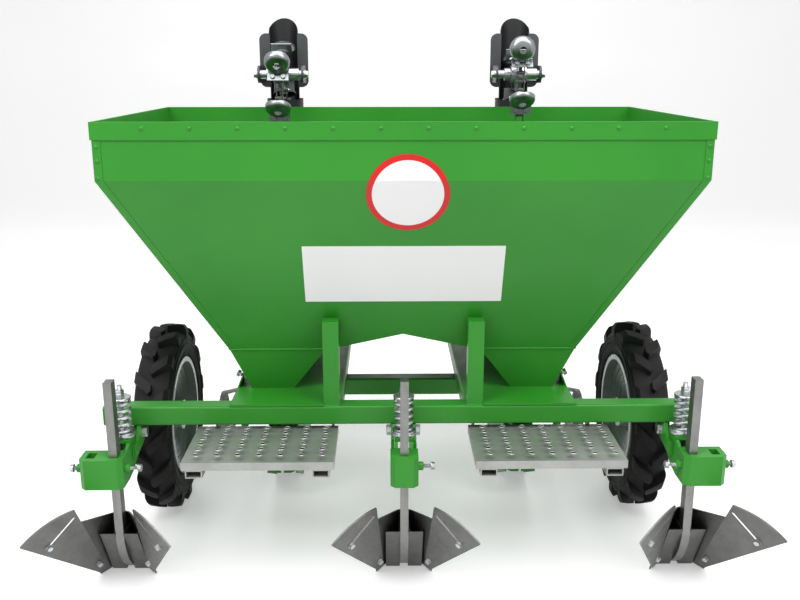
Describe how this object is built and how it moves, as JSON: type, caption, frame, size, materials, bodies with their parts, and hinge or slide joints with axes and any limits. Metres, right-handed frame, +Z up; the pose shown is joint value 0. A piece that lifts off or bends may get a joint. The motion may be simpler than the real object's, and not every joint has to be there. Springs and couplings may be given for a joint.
{
  "type": "two-row potato planter",
  "caption": "Tractor-mounted potato planter with a green trapezoid hopper, cup elevators, lugged wheels and sprung hillers.",
  "frame": {"origin": "on the floor under the middle of the machine's box", "axes": "+Z up, +Y forward towards the tractor, +X to the right seen from behind"},
  "size_m": [1.7402, 1.2573, 1.3899],
  "materials": {
    "green_paint": "semi-gloss",
    "bare_steel": "ground",
    "step_steel": "rolled",
    "zinc": "zinc plated",
    "chain_steel": "oiled",
    "black_enamel": "satin",
    "cheek_grey": "satin",
    "rim_grey": "satin",
    "tyre": "matt"
  },
  "bodies": {
    "frame": {"base_plate_left": "green_paint", "base_plate_right": "green_paint", "cup_chain_left": "zinc", "cup_chain_right": "zinc", "drive_chain_left": "chain_steel", "drive_chain_right": "chain_steel", "drop_tube_left": "black_enamel", "drop_tube_right": "black_enamel", "front_beam": "green_paint", "funnel_left": "green_paint", "funnel_right": "green_paint", "furrow_opener_left": "green_paint", "furrow_opener_right": "green_paint", "head_plates_left": "cheek_grey", "head_plates_right": "cheek_grey", "hiller_arm_centre": "green_paint", "hiller_arm_left": "green_paint", "hiller_arm_right": "green_paint", "hiller_shank_centre": "bare_steel", "hiller_shank_left": "bare_steel", "hiller_shank_right": "bare_steel", "hiller_share_centre": "bare_steel", "hiller_share_left": "bare_steel", "hiller_share_right": "bare_steel", "hiller_spring_centre": "zinc", "hiller_spring_left": "zinc", "hiller_spring_right": "zinc", "hiller_wings_centre": "bare_steel", "hiller_wings_left": "bare_steel", "hiller_wings_right": "bare_steel", "hitch_beam": "green_paint", "hitch_mast": "green_paint", "hopper_front_panel": "green_paint", "hopper_post_left": "green_paint", "hopper_post_right": "green_paint", "hopper_rear_panel": "green_paint", "hopper_rim": "green_paint", "hopper_saddle": "green_paint", "hopper_side_left": "green_paint", "hopper_side_right": "green_paint", "lower_sprocket_left": "zinc", "lower_sprocket_right": "zinc", "platform_left": "step_steel", "platform_right": "step_steel", "rail_left": "green_paint", "rail_right": "green_paint", "rear_beam": "green_paint", "stub_axle_left": "bare_steel", "stub_axle_right": "bare_steel", "upper_sprocket_left": "zinc", "upper_sprocket_right": "zinc"},
    "wheel_left": {"rim_left": "rim_grey", "tyre_left": "tyre"},
    "wheel_right": {"rim_right": "rim_grey", "tyre_right": "tyre"}
  },
  "joints": [
    {"name": "wheel_left_spin", "type": "hinge", "parent": "frame", "child": "wheel_left", "pos_m": [-0.672, 0.01168, 0.265], "axis": [1, 0, 0], "continuous": true},
    {"name": "wheel_right_spin", "type": "hinge", "parent": "frame", "child": "wheel_right", "pos_m": [0.672, 0.01168, 0.265], "axis": [1, 0, 0], "continuous": true}
  ]
}
